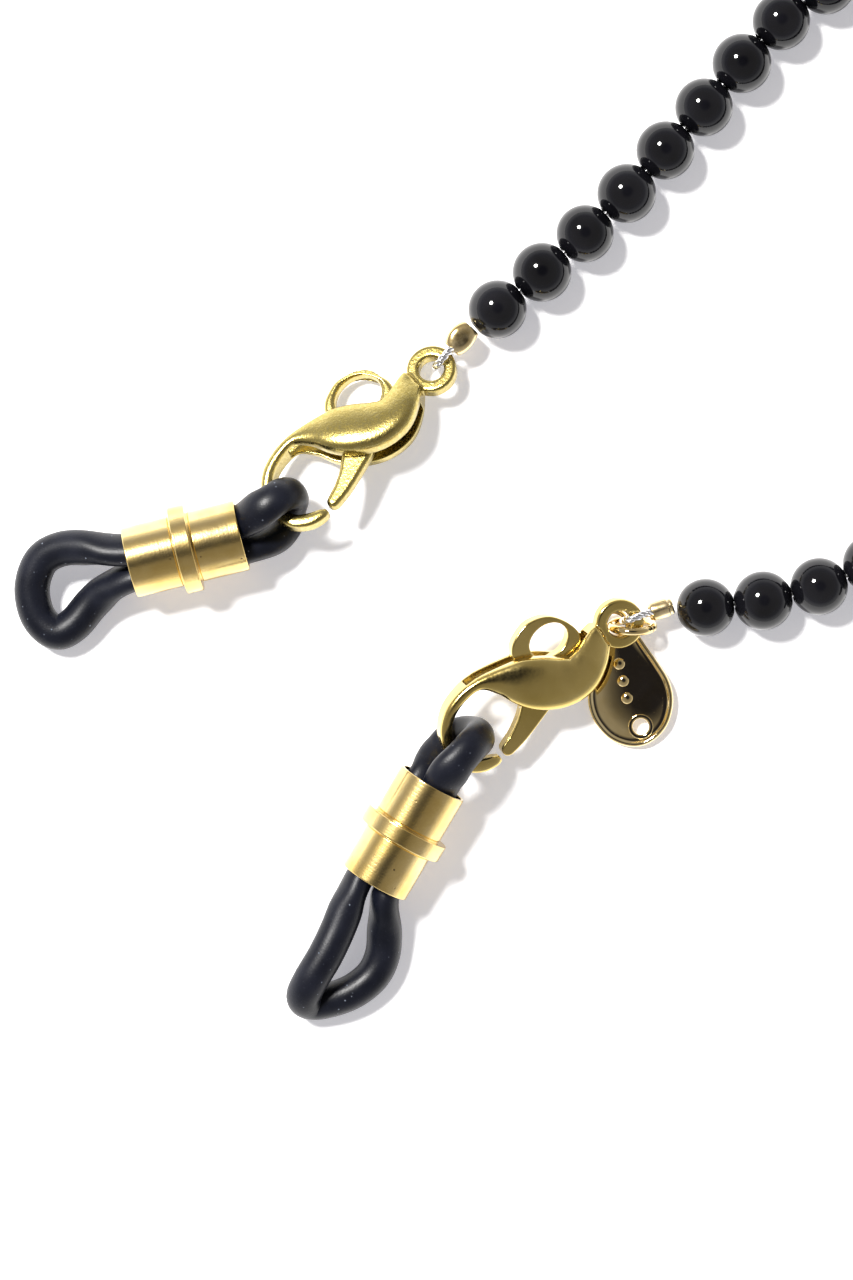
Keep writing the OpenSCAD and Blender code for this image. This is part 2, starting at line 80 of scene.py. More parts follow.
# Points of each rubber ring's centre line outside its sleeve
TEMPLE = [
    [(-22.5, 6.2, 3.1), (-24.5, 6.2, 2.4), (-26, 5.5, 1.9), (-26.7, 4, 1.6), (-26.7, 2.6, 1.4),
     (-26.2, 1.3, 1.25), (-25.1, 0.5, 1.25), (-23.9, 1.1, 1.25), (-22.7, 2.5, 1.4),
     (-21.4, 3.6, 1.9)],
    [(-5.1, -17.2, 3.1), (-5.9, -19.3, 3.2), (-6.8, -21.2, 3.3), (-7.8, -22.9, 3.1),
     (-8.3, -24.1, 2.3), (-7.8, -24.6, 1.35), (-6.4, -24.4, 1.25), (-4.9, -23.8, 1.25),
     (-3.6, -22.7, 1.25),
     (-2.95, -21.2, 1.4), (-2.85, -19.3, 1.9), (-2.85, -17.6, 2.6)],
]
HOOK_LOOP = [
    [(-10.3, 6.9, 1.7), (-9.5, 7.9, 1.3), (-9.25, 9.0, 1.6), (-8.95, 9.85, 3.1), (-9.7, 9.7, 4.6),
     (-10.9, 8.9, 4.9)],
    [(1.4, -9, 5), (2.1, -8.1, 5.3), (3, -7.1, 4.9), (3.6, -6.45, 3.2), (2.7, -6.3, 1.5),
     (1.7, -6.7, 1.2), (1.05, -7.5, 1.35), (0.45, -8.4, 1.95)],
]

# Bead strand
BEAD_D = 3.98
BEAD_SPREAD = 0.06
SIZE_TURN = 137
BEAD_HOLE_D = 1.1
BEAD_PITCH = 3.92
COIL_PITCH = 4.12
NEAR_A = 8
NEAR_B = 4
WIRE_D = 0.44
WIRE_Z = 1.98
LEAD_A = [(4.8, 22.4), (7.8, 24.9), (10.7, 27.5), (13.5, 30.2), (16.2, 33.2), (18.8, 36.1),
          (21.3, 39), (24, 41.9), (27.4, 44.6), (31.5, 46.4), (36, 47.2), (41, 47.2), (46, 46.8),
          (51, 46.3), (56, 45.9)]
LEAD_B = [(18.9, 2.2), (23, 2.7), (26.8, 3.7), (30.2, 5.2), (33.3, 7.4), (35.7, 10.2), (37.2, 13.3)]
COIL_AT = np.array([66.0, 16.0])
COIL_START = 190
COIL_INNER_R = 16.0
COIL_SPACING = 4.15
ARM_A_TURN = 630
ARM_B_TURN = 530
COIL_STEP = 10

# Crimps, and the wire's loops round the eyelets: distance towards the crimp, and height
CRIMP_AT = np.array([[2.34, 20.44, 1.95], [15.86, 2.1, 1.95]])
CRIMP_HEADING = [48.4, 17.5]
CRIMP_L = [2.0, 1.7]
WIRE_LOOP = [
    [(3.85, 2.2), (2.3, 2.25), (1.75, 2.6), (1.2, 2.76), (0.62, 2.62), (0.4, 1.8), (0.44, 0.9),
     (0.9, 0.4), (1.6, 0.45), (2, 1.1), (2.4, 1.7), (3.85, 1.75)],
    [(3.75, 2.15), (2.4, 2.35), (1.95, 2.85), (1.4, 3.24), (0.75, 3.18), (0.4, 2.4), (0.42, 1.7),
     (0.9, 1.36), (1.65, 1.34), (2.05, 1.45), (2.4, 1.68), (3.75, 1.76)],
]

# Jump ring and tag
RING_AT = np.array([13.95, 0.95, 1.69])
RING_TURN = (106, 0, 0)
RING_R = 1.42
RING_WIRE_R = 0.28
TAG_AT = np.array([12.74, 0.98, 0.82])
TAG_TURN = (2.6, -6.5, 12.7)
TAG_L = 5.3
TAG_HALF = [(0, 1.15), (0.85, 0.8), (1.32, -0.4), (1.85, -1.8), (2.42, -3.2), (2.86, -4.6),
            (2.78, -6), (2.1, -7.35), (1.08, -8.15), (0, -8.42)]
TAG_HOLE_R = 0.8
TAG_T = 0.4
GROMMET_AT = (0.28, -7.1)
GROMMET_HOLE_R = 0.72


# ------------------------------------------------------------------ maths

def turned(angles, p):
    """The point or points p after OpenSCAD's rotate(angles)."""
    m = np.array(Euler([math.radians(a) for a in angles], "XYZ").to_matrix())
    return np.asarray(p, float) @ m.T


def unit(v):
    return v / np.linalg.norm(v)


def curve_point(a, b, c, d, t):
    return 0.5 * (2 * b + (c - a) * t + (2 * a - 5 * b + 4 * c - d) * t * t
                  + (3 * b - a - 3 * c + d) * t * t * t)


def smooth_line(points, steps, closed=False):
    """A smooth line through the points, with steps pieces between neighbours."""
    p = [np.array(q, float) for q in points]
    n = len(p)
    line = []
    for i in range(n if closed else n - 1):
        if closed:
            four = [p[(i + k) % n] for k in (-1, 0, 1, 2)]
        else:
            four = [p[max(i - 1, 0)], p[i], p[i + 1], p[min(i + 2, n - 1)]]
        for k in range(steps):
            line.append(curve_point(*four, k / steps))
    if not closed:
        line.append(p[-1])
    return np.array(line)


def run_length(line):
    gaps = np.linalg.norm(np.diff(line, axis=0), axis=1)
    return np.concatenate([[0], np.cumsum(gaps)])


def heading(path, i):
    """Direction of an open path at its point i."""
    return unit(path[min(i + 1, len(path) - 1)] - path[max(i - 1, 0)])


def round_angles(count):
    return np.linspace(0, 2 * math.pi, count, endpoint=False)


def oval(middle, e1, e2, r1, r2, sides):
    """Points of an oval that reaches r1 along e1 and r2 along e2."""
    return [middle + e1 * r1 * math.cos(a) + e2 * r2 * math.sin(a) for a in round_angles(sides)]


def clamp01(x):
    return max(0.0, min(1.0, x))


def nearest(p, a, b):
    """The point of the straight from a to b that is nearest to p."""
    d = b - a
    return a + d * clamp01((p - a) @ d / (d @ d))


# ------------------------------------------------------------------ meshes

def add_object(name, data):
    made = bpy.data.objects.new(name, data)
    bpy.context.scene.collection.objects.link(made)
    return made


def grid_faces(rings, count, closed_rings):
    """Faces between rings of count points each, with an end cap at each end of an open run."""
    faces = []
    for i in range(rings if closed_rings else rings - 1):
        for j in range(count):
            a = i * count + j
            b = i * count + (j + 1) % count
            k = ((i + 1) % rings) * count
            faces.append((a, b, k + (j + 1) % count, k + j))
    if not closed_rings:
        faces.append(tuple(range(count - 1, -1, -1)))
        faces.append(tuple((rings - 1) * count + j for j in range(count)))
    return faces


def make_mesh(name, points, faces, place=True, smooth=True):
    """An object from points in millimetres; place adds the table shift and makes them metres."""
    points = np.asarray(points, float)
    if place:
        points = (points + TABLE_SHIFT) * MM
    mesh = bpy.data.meshes.new(name)
    mesh.from_pydata([tuple(p) for p in points], [], faces)
    mesh.update()
    bm = bmesh.new()
    bm.from_mesh(mesh)
    bmesh.ops.recalc_face_normals(bm, faces=bm.faces)
    bm.to_mesh(mesh)
    bm.free()
    for face in mesh.polygons:
        face.use_smooth = smooth
    return add_object(name, mesh)


def loft(name, rings, closed=False, place=True):
    """An object from rings of points; closed joins the last ring to the first."""
    rings = np.asarray(rings, float)
    n, k = rings.shape[0], rings.shape[1]
    return make_mesh(name, rings.reshape(-1, 3), grid_faces(n, k, closed), place)


def lathe_points(profile, segments):
    """Points of a closed profile of (radius, height) turned about Z."""
    rings = []
    for i in range(segments):
        a = 2 * math.pi * i / segments
        rings.append([(r * math.cos(a), r * math.sin(a), z) for r, z in profile])
    return np.array(rings)


# Rounding of a profile's corner: its most, as a share of each side, and its support points' reach
MOST_ROUNDING = 0.4
SUPPORT_REACH = 1.15


def rounded_profile(corners, radius, steps=4):
    """A closed profile with its corners rounded, by one radius or by a list with one for each.

    A point on the straight a little way off each rounding keeps the straight's shading flat.
    """
    out = []
    n = len(corners)
    for i, corner in enumerate(corners):
        c = np.array(corner, float)
        before = np.array(corners[i - 1], float) - c
        after = np.array(corners[(i + 1) % n], float) - c
        r = radius[i] if isinstance(radius, (list, tuple)) else radius
        r = min(r, MOST_ROUNDING * np.linalg.norm(before), MOST_ROUNDING * np.linalg.norm(after))
        if r <= 0:
            out.append(tuple(c))
            continue
        a = c + unit(before) * r
        b = c + unit(after) * r
        out.append(tuple(c + unit(before) * r * SUPPORT_REACH))
        for k in range(steps + 1):
            t = k / steps
            out.append(tuple((1 - t) ** 2 * a + 2 * t * (1 - t) * c + t * t * b))
        out.append(tuple(c + unit(after) * r * SUPPORT_REACH))
    return out


def apply_modifiers(piece):
    graph = bpy.context.evaluated_depsgraph_get()
    mesh = bpy.data.meshes.new_from_object(piece.evaluated_get(graph))
    piece.modifiers.clear()
    piece.data = mesh
    return piece


def cut(piece, cutter):
    modifier = piece.modifiers.new("cut", "BOOLEAN")
    modifier.operation = "DIFFERENCE"
    modifier.solver = "EXACT"
    modifier.object = cutter
    apply_modifiers(piece)
    bpy.data.objects.remove(cutter)
    return piece


def join(name, pieces):
    """One object from several whose meshes are all in the same axes."""
    bm = bmesh.new()
    for piece in pieces:
        bm.from_mesh(piece.data)
    mesh = bpy.data.meshes.new(name)
    bm.to_mesh(mesh)
    bm.free()
    for piece in pieces:
        bpy.data.objects.remove(piece)
    for face in mesh.polygons:
        face.use_smooth = True
    return add_object(name, mesh)


def box_piece(low, high):
    low, high = np.array(low, float), np.array(high, float)
    points = [[(low, high)[(i >> k) & 1][k] for k in range(3)] for i in range(8)]
    faces = [(0, 1, 3, 2), (4, 6, 7, 5), (0, 4, 5, 1), (2, 3, 7, 6), (0, 2, 6, 4), (1, 5, 7, 3)]
    return make_mesh("cutter", points, faces, place=False, smooth=False)


def cylinder_piece(x, y, r, low, high, sides=64):
    angles = [2 * math.pi * j / sides for j in range(sides)]
    rings = [[(x + r * math.cos(a), y + r * math.sin(a), z) for a in angles] for z in (low, high)]
    return loft("cutter", rings, place=False)


def fuse_by_voxels(piece, voxel, rounds):
    """Melts overlapping closed shapes into one casting and softens its edges."""
    modifier = piece.modifiers.new("fuse", "REMESH")
    modifier.mode = "VOXEL"
    modifier.voxel_size = voxel
    modifier.use_smooth_shade = True
    return soften_surface(piece, rounds)


def soften_surface(piece, rounds):
    modifier = piece.modifiers.new("soften", "SMOOTH")
    modifier.factor = 0.5
    modifier.iterations = rounds
    return apply_modifiers(piece)


def sharpen(piece, degrees):
    """Smooth shading that keeps edges sharper than this angle."""
    piece.data.set_sharp_from_angle(angle=math.radians(degrees))


def settle(piece, matrix):
    """Puts a piece modelled in its own axes in its place, in metres."""
    piece.data.transform(matrix)
    piece.data.update()
    return piece


def placing(at, turn):
    """The matrix from a piece's own axes, in millimetres, to its place, in metres."""
    where = Vector((np.asarray(at) + TABLE_SHIFT) * MM)
    angles = Euler([math.radians(a) for a in turn], "XYZ")
    return Matrix.Translation(where) @ angles.to_matrix().to_4x4() @ Matrix.Scale(MM, 4)


def clasp_place(end):
    return placing(EYELET[end], CLASP_TURN[end])


def square_axes(ahead, side):
    """Two directions square to ahead and to each other, the first as near to side as can be."""
    e1 = unit(side - (side @ ahead) * ahead)
    return e1, np.cross(ahead, e1)


def tube_rings(path, side, radius, sides):
    """Rings of a round open tube; side gives a direction out of the path at each point."""
    rings = []
    for i, middle in enumerate(path):
        e1, e2 = square_axes(heading(path, i), side[i])
        rings.append(oval(middle, e1, e2, radius, radius, sides))
    return rings


# ------------------------------------------------------------------ materials

def fill_ramp(ramp, stops):
    """Sets a colour ramp's stops, each a place with a colour or a grey."""
    while len(ramp.elements) < len(stops):
        ramp.elements.new(0.5)
    for element, (at, colour) in zip(ramp.elements, stops):
        if not isinstance(colour, tuple):
            colour = (colour, colour, colour)
        element.position = at
        element.color = (*colour, 1)


class Paint:
    """A small helper round one material's node tree."""

    def __init__(self, name, **sockets):
        self.material = bpy.data.materials.new(name)
        self.material.use_nodes = True
        self.tree = self.material.node_tree
        self.shader = self.tree.nodes["Principled BSDF"]
        for socket, value in sockets.items():
            self.shader.inputs[socket.replace("_", " ")].default_value = value
        self.coords = self.node("ShaderNodeTexCoord").outputs["Object"]

    def node(self, kind, **settings):
        made = self.tree.nodes.new(kind)
        for key, value in settings.items():
            setattr(made, key, value)
        return made

    def link(self, a, b):
        self.tree.links.new(a, b)

    def feed(self, socket, value):
        """Links an output to the socket, or sets the socket to a colour or a number."""
        if hasattr(value, "is_linked"):
            self.link(value, socket)
        elif isinstance(value, tuple):
            socket.default_value = (*value, 1)
        else:
            socket.default_value = value

    def noise(self, scale, detail, roughness=0.55):
        made = self.node("ShaderNodeTexNoise")
        made.inputs["Scale"].default_value = scale
        made.inputs["Detail"].default_value = detail
        made.inputs["Roughness"].default_value = roughness
        self.link(self.coords, made.inputs["Vector"])
        return made.outputs["Fac"]

    def cells(self, scale):
        made = self.node("ShaderNodeTexVoronoi")
        made.inputs["Scale"].default_value = scale
        self.link(self.coords, made.inputs["Vector"])
        return made.outputs["Distance"]

    def ramp(self, value, stops):
        made = self.node("ShaderNodeValToRGB")
        fill_ramp(made.color_ramp, stops)
        self.link(value, made.inputs["Fac"])
        return made.outputs["Color"]

    def mix(self, factor, a, b):
        """One colour turning into the other; a colour mix has its sockets at these places."""
        made = self.node("ShaderNodeMix", data_type="RGBA")
        self.feed(made.inputs[0], factor)
        self.feed(made.inputs[6], a)
        self.feed(made.inputs[7], b)
        return made.outputs[2]

    def math(self, operation, a, b):
        made = self.node("ShaderNodeMath", operation=operation)
        self.feed(made.inputs[0], a)
        self.feed(made.inputs[1], b)
        return made.outputs[0]

    def colour(self, value):
        self.link(value, self.shader.inputs["Base Color"])

    def rough(self, value):
        self.link(value, self.shader.inputs["Roughness"])

    def bump(self, height, distance, strength):
        made = self.node("ShaderNodeBump")
        made.inputs["Distance"].default_value = distance
        made.inputs["Strength"].default_value = strength
        self.link(height, made.inputs["Height"])
        self.link(made.outputs["Normal"], self.shader.inputs["Normal"])


def satin_gold():
    """Cast and satin plated: a fine sparkling grain over slow changes of tint."""
    p = Paint("satin_gold", Metallic=1.0)
    slow = p.noise(scale=260, detail=2)
    grain = p.noise(scale=5600, detail=2, roughness=0.75)
    tint = p.ramp(slow, [(0.35, (0.38, 0.295, 0.080)), (0.65, (0.50, 0.395, 0.125))])
    glint = p.ramp(grain, [(0.35, (0.26, 0.205, 0.05)), (0.62, (0.66, 0.56, 0.25))])
    share = p.ramp(grain, [(0.4, 0.15), (0.7, 0.5)])
    p.colour(p.mix(share, tint, glint))
    p.rough(p.ramp(grain, [(0.3, 0.30), (0.7, 0.19)]))
    p.bump(grain, distance=0.000028, strength=0.6)
    return p.material


def polished_gold():
    """Smooth plating with faint casting waves and hairline scratches."""
    p = Paint("polished_gold", Metallic=1.0)
    slow = p.noise(scale=300, detail=2)
    fine = p.noise(scale=5200, detail=3, roughness=0.6)
    p.colour(p.ramp(slow, [(0.35, (0.56, 0.42, 0.13)), (0.65, (0.70, 0.54, 0.20))]))
    p.rough(p.ramp(fine, [(0.3, 0.13), (0.75, 0.22)]))
    p.bump(p.math("ADD", p.math("MULTIPLY", slow, 3.0), fine), distance=0.000006, strength=0.5)
    return p.material


def turned_brass(name, axis):
    """Lathe-turned brass: fine rings round the sleeve's axis, and a few dark specks and nicks."""
    p = Paint(name, Metallic=1.0)
    along = p.node("ShaderNodeVectorMath", operation="DOT_PRODUCT")
    along.inputs[1].default_value = tuple(axis)
    p.link(p.coords, along.inputs[0])
    place = p.node("ShaderNodeCombineXYZ")
    p.link(along.outputs["Value"], place.inputs["X"])
    rings = p.node("ShaderNodeTexNoise")
    rings.inputs["Scale"].default_value = 7000
    rings.inputs["Detail"].default_value = 2
    p.link(place.outputs["Vector"], rings.inputs["Vector"])
    specks = p.ramp(p.cells(scale=1500), [(0.05, 1.0), (0.13, 0.0)])
    where = p.ramp(p.noise(scale=420, detail=2), [(0.54, 0.0), (0.62, 1.0)])
    dark = p.math("MULTIPLY", specks, where)
    slow = p.noise(scale=330, detail=3)
    tone = p.ramp(slow, [(0.35, (0.66, 0.47, 0.16)), (0.62, (0.80, 0.61, 0.27))])
    p.colour(p.mix(dark, tone, (0.16, 0.10, 0.05)))
    p.rough(p.ramp(slow, [(0.3, 0.24), (0.7, 0.16)]))
    grain = p.noise(scale=5200, detail=2, roughness=0.7)
    height = p.math("SUBTRACT", rings.outputs["Fac"], p.math("MULTIPLY", dark, 2.0))
    p.bump(p.math("ADD", height, grain), distance=0.000009, strength=0.6)
    return p.material


def mirror_gold():
    """Bright smooth plating with fine pits."""
    p = Paint("mirror_gold", Metallic=1.0)
    slow = p.noise(scale=500, detail=2)
    pits = p.ramp(p.cells(scale=2600), [(0.03, 0.0), (0.12, 1.0)])
    p.colour(p.ramp(slow, [(0.3, (0.78, 0.60, 0.28)), (0.7, (0.90, 0.74, 0.42))]))
    p.rough(p.ramp(p.noise(scale=3500, detail=3), [(0.35, 0.035), (0.7, 0.09)]))
    p.bump(p.math("ADD", pits, p.math("MULTIPLY", slow, 2.0)), distance=0.000006, strength=0.35)
    return p.material


def black_rubber():
    """Moulded rubber: fine skin texture, light dust, and faint grey scuffs."""
    p = Paint("black_rubber", IOR=1.3)
    skin = p.noise(scale=7000, detail=3, roughness=0.65)
    slow = p.noise(scale=420, detail=3)
    dust = p.ramp(p.cells(scale=1900), [(0.07, 1.0), (0.13, 0.0)])
    dusty = p.ramp(p.noise(scale=650, detail=2), [(0.49, 0.0), (0.59, 1.0)])
    lint = p.ramp(p.cells(scale=5200), [(0.06, 1.0), (0.14, 0.0)])
    spots = p.math("MAXIMUM", p.math("MULTIPLY", dust, dusty), p.math("MULTIPLY", lint, 0.14))
    base = p.ramp(slow, [(0.35, (0.0024, 0.0030, 0.0062)), (0.7, (0.0052, 0.0062, 0.0118))])
    p.colour(p.mix(spots, base, (0.13, 0.15, 0.19)))
    p.rough(p.ramp(slow, [(0.3, 0.33), (0.7, 0.43)]))
    p.bump(p.math("ADD", skin, p.math("MULTIPLY", spots, 2.0)), distance=0.000014, strength=0.8)
    return p.material


def black_onyx():
    """Polished black stone, its polish a little uneven."""
    p = Paint("black_onyx", IOR=1.4)
    slow = p.noise(scale=240, detail=3)
    p.colour(p.ramp(slow, [(0.4, (0.0022, 0.0022, 0.003)), (0.7, (0.006, 0.006, 0.008))]))
    p.rough(p.ramp(p.noise(scale=1800, detail=3), [(0.35, 0.04), (0.7, 0.085)]))
    p.bump(p.noise(scale=900, detail=2), distance=0.000004, strength=0.3)
    return p.material


def bright_steel(name, tint, rough_low, rough_high):
    """Drawn metal wire with a fine uneven skin."""
    p = Paint(name, Metallic=1.0)
    fine = p.noise(scale=6500, detail=3)
    p.colour(p.ramp(fine, [(0.3, tuple(0.85 * c for c in tint)), (0.7, tint)]))
    p.rough(p.ramp(fine, [(0.3, rough_low), (0.7, rough_high)]))
    p.bump(fine, distance=0.000004, strength=0.4)
    return p.material


def crimp_brass():
    """Pressed brass with slow changes of tint and small dents."""
    p = Paint("crimp_brass", Metallic=1.0)
    slow = p.noise(scale=900, detail=3)
    p.colour(p.ramp(slow, [(0.35, (0.72, 0.53, 0.22)), (0.65, (0.93, 0.77, 0.47))]))
    p.rough(p.ramp(slow, [(0.3, 0.14), (0.7, 0.26)]))
    p.bump(p.noise(scale=3500, detail=3), distance=0.000008, strength=0.5)
    return p.material


def white_table():
    """Matt white card that glows a little, so that it comes out pale."""
    p = Paint("white_table", Roughness=0.9, Emission_Color=(0.93, 0.93, 1.0, 1),
              Emission_Strength=0.36)
    slow = p.noise(scale=40, detail=2)
    p.colour(p.ramp(slow, [(0.3, (0.86, 0.86, 0.865)), (0.7, (0.88, 0.88, 0.885))]))
    return p.material


def finish_piece(piece, material, body, slot, *nodes):
    piece.data.materials.clear()
    piece.data.materials.append(material)
    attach(piece, body)
    if nodes:
        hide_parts(*nodes)
    return piece


# ------------------------------------------------------------------ camera, light and table

def make_camera():
    """Looks straight down on the middle of the picture's field from a good way up."""
    field_h = 0.0874
    lens = bpy.data.cameras.new("camera")
    lens.lens = 100
    lens.sensor_width = 36
    camera = add_object("camera", lens)
    height = field_h * lens.lens / lens.sensor_width
    camera.location = (TABLE_SHIFT[0] * MM, TABLE_SHIFT[1] * MM, height)
    lens.clip_start = 0.01
    lens.clip_end = 10
    bpy.context.scene.camera = camera


def make_lamp():
    """A soft round lamp above the far left of the table."""
    to_light = Vector((-0.40, 0.37, 0.84)).normalized()
    distance = 0.7
    lamp = bpy.data.lights.new("key", "AREA")
    lamp.shape = "DISK"
    lamp.size = 0.15
    lamp.energy = 11.5
    lamp.color = (1.0, 0.985, 0.96)
    key = add_object("key", lamp)
    key.location = to_light * distance
    key.rotation_mode = "QUATERNION"
    key.rotation_quaternion = to_light.to_track_quat("Z", "Y")


# What surrounds the table, from the horizon up to the top: a place with its colour
WORLD_STOPS = [(0.0, (1.5, 1.5, 1.5)), (0.14, (1.2, 1.2, 1.24)), (0.34, (0.50, 0.50, 0.54)),
               (0.62, (0.43, 0.41, 0.38)), (0.90, (0.33, 0.31, 0.28)), (0.975, (0.02, 0.02, 0.03))]


def make_world():
    """A bright horizon under a dimmer ceiling, which is what the metal reflects."""
    world = bpy.data.worlds.new("studio")
    bpy.context.scene.world = world
    world.use_nodes = True
    tree = world.node_tree
    back = tree.nodes["Background"]
    coords = tree.nodes.new("ShaderNodeTexCoord")
    split = tree.nodes.new("ShaderNodeSeparateXYZ")
    ramp = tree.nodes.new("ShaderNodeValToRGB")
    tree.links.new(coords.outputs["Generated"], split.inputs["Vector"])
    tree.links.new(split.outputs["Z"], ramp.inputs["Fac"])
    tree.links.new(ramp.outputs["Color"], back.inputs["Color"])
    fill_ramp(ramp.color_ramp, WORLD_STOPS)
    back.inputs["Strength"].default_value = 0.85
    bpy.context.scene.view_settings.view_transform = "Standard"


def make_table():
    half = 1.5
    corners = [(-half, -half, 0), (half, -half, 0), (half, half, 0), (-half, half, 0)]
    table = make_mesh("table", corners, [(0, 1, 2, 3)], place=False)
    table.data.materials.append(white_table())


# ------------------------------------------------------------------ bead strand

def arm_point(start, turn):
    """A point of one of the flat coil's two arms, turn degrees out from its inner end."""
    r = COIL_INNER_R + COIL_SPACING * turn / 180
    a = math.radians(start + turn)
    return COIL_AT + r * np.array([math.cos(a), math.sin(a)])


def half_s(start):
    """A half circle from the coil's middle to an arm's inner end."""
    out = []
    a = math.radians(start)
    for turn in range(0, 180, COIL_STEP):
        b = math.radians(start + turn)
        across = np.array([math.cos(a) - math.cos(b), math.sin(a) - math.sin(b)])
        out.append(COIL_AT + COIL_INNER_R / 2 * across)
    return out


def strand_line():
    """The strand's middle line: in from crimp a, round the double coil, and out to crimp b."""
    arm_a = [arm_point(COIL_START, t) for t in range(ARM_A_TURN, -1, -COIL_STEP)]
    arm_b = [arm_point(COIL_START + 180, t) for t in range(0, ARM_B_TURN + 1, COIL_STEP)]
    middle = half_s(COIL_START)[::-1] + half_s(COIL_START + 180)
    lead_a = smooth_line(LEAD_A, 3)
    lead_b = smooth_line(LEAD_B, 3)[::-1]
    return np.vstack([lead_a, arm_a, middle, arm_b, lead_b])


LINE = strand_line()
LINE_RUN = run_length(LINE)
STRAND_L = LINE_RUN[-1]
FAR_L = STRAND_L - (NEAR_A + NEAR_B) * BEAD_PITCH
FAR_COUNT = math.floor(FAR_L / COIL_PITCH)
BEAD_COUNT = NEAR_A + FAR_COUNT + NEAR_B + 1


def on_strand(run):
    return np.array([np.interp(run, LINE_RUN, LINE[:, k]) for k in (0, 1)])


def bead_run(i):
    """How far along the strand bead i is; the pitch is a little closer near the crimps."""
    if i < NEAR_A:
        return i * BEAD_PITCH
    if i > NEAR_A + FAR_COUNT:
        return STRAND_L - (BEAD_COUNT - 1 - i) * BEAD_PITCH
    return NEAR_A * BEAD_PITCH + (i - NEAR_A) * FAR_L / FAR_COUNT


def bead_d(i):
    """Each bead's own size, which wanders a little from bead to bead."""
    return BEAD_D + BEAD_SPREAD * math.sin(math.radians(i * SIZE_TURN))


def bead_profile(d):
    """Half circle from one end of the hole to the other, with small rounded lips, and the hole."""
    r = d / 2
    hole = BEAD_HOLE_D / 2
    mouth = math.asin(hole / r)
    start = mouth + 0.05
    arc = [(r * math.sin(a), r * math.cos(a)) for a in np.linspace(start, math.pi - start, 20)]
    end = r * math.cos(mouth)
    lip_r = hole + 0.02
    lip_end = end - 0.01
    wall_end = end - 0.08
    return arc + [(lip_r, -lip_end), (hole, -wall_end), (hole, wall_end), (lip_r, lip_end)]


def make_beads():
    points = []
    faces = []
    segments = 36
    reach = 0.5
    for i in range(BEAD_COUNT):
        ahead = on_strand(bead_run(i) + reach) - on_strand(bead_run(i) - reach)
        e1 = unit(np.array([*ahead, 0.0]))
        e2 = np.array([-e1[1], e1[0], 0.0])
        middle = np.array([*on_strand(bead_run(i)), bead_d(i) / 2])
        rings = lathe_points(bead_profile(bead_d(i)), segments)
        n, k = rings.shape[0], rings.shape[1]
        base = len(points)
        flat = rings.reshape(-1, 3)
        points.extend(middle + flat[:, :1] * e2 + flat[:, 1:2] * UP + flat[:, 2:] * e1)
        faces.extend([tuple(base + v for v in face) for face in grid_faces(n, k, True)])
    return make_mesh("bead_strand", points, faces)


def wire_loop(end, steps):
    """Centre line of the wire's loop round an eyelet's rim, from the crimp and back."""
    a = math.radians(CRIMP_HEADING[end])
    d = np.array([math.cos(a), math.sin(a), 0.0])
    base = EYELET[end] * (1, 1, 0)
    line = smooth_line(WIRE_LOOP[end], steps)
    return np.array([base + d * q[0] + UP * q[1] for q in line])


def twisted(path, side, strands, offset, radius, lay):
    """Several thin strands that wind round the path; lay is the length of one turn."""
    run = run_length(path)
    out = []
    for s in range(strands):
        line = []
        for i, p in enumerate(path):
            e1, e2 = square_axes(heading(path, i), side)
            a = 2 * math.pi * (run[i] / lay + s / strands)
            line.append(p + offset * (e1 * math.cos(a) + e2 * math.sin(a)))
        line = np.array(line)
        out.append(tube_rings(line, [side] * len(line), radius, 8))
    return out


def make_wire():
    """The twisted loops at both eyelets and the wire through the beads."""
    parts = []
    for end in (0, 1):
        a = math.radians(CRIMP_HEADING[end])
        side = np.array([-math.sin(a), math.cos(a), 0.0])
        loop = wire_loop(end, steps=14)
        for rings in twisted(loop, side, strands=3, offset=0.14, radius=0.13, lay=1.5):
            parts.append(loft("strand", rings))
    gaps = [(bead_run(i) + bead_run(i + 1)) / 2 for i in range(BEAD_COUNT - 1)]
    core = np.array([[*on_strand(run), WIRE_Z] for run in [0, *gaps, STRAND_L]])
    side = [np.cross(UP, heading(core, i)) for i in range(len(core))]
    parts.append(loft("strand", tube_rings(core, side, WIRE_D / 2, 10)))
    return join("beading_wire_lay", parts)


def crimp_sections(end):
    """Stations of a crimp: place along it, half width, half height and squareness."""
    h = CRIMP_L[end] / 2
    if end == 0:
        return [(-h, 0.60, 0.58, 2.2), (-h + 0.08, 0.72, 0.66, 2.4), (-0.45, 0.86, 0.74, 3.6),
                (0, 0.90, 0.76, 4.0), (0.4, 0.86, 0.74, 3.6), (h - 0.08, 0.72, 0.66, 2.4),
                (h, 0.60, 0.58, 2.2)]
    return [(-h, 0.50, 0.46, 2), (-h + 0.1, 0.56, 0.54, 2), (-h + 0.3, 0.64, 0.62, 2.2),
            (0, 0.66, 0.66, 2), (h - 0.38, 0.65, 0.65, 2), (h - 0.3, 0.58, 0.58, 2),
            (h - 0.12, 0.58, 0.58, 2), (h, 0.52, 0.52, 2)]


def make_crimp(end):
    """A crimp from its stations; a higher squareness gives flatter sides."""
    a = math.radians(CRIMP_HEADING[end])
    e1 = np.array([-math.sin(a), math.cos(a), 0.0])
    ahead = np.array([math.cos(a), math.sin(a), 0.0])
    rings = []
    for x, w, t, power in smooth_line(crimp_sections(end), 5):
        ring = []
        for b in round_angles(40):
            c = math.cos(b)
            s = math.sin(b)
            u = w * math.copysign(abs(c) ** (2 / power), c)
            v = t * math.copysign(abs(s) ** (2 / power), s)
            ring.append(CRIMP_AT[end] + ahead * x + e1 * u + UP * v)
        rings.append(ring)
    return loft("crimp_%s_shell" % LETTER[end], rings)


# ------------------------------------------------------------------ clasp

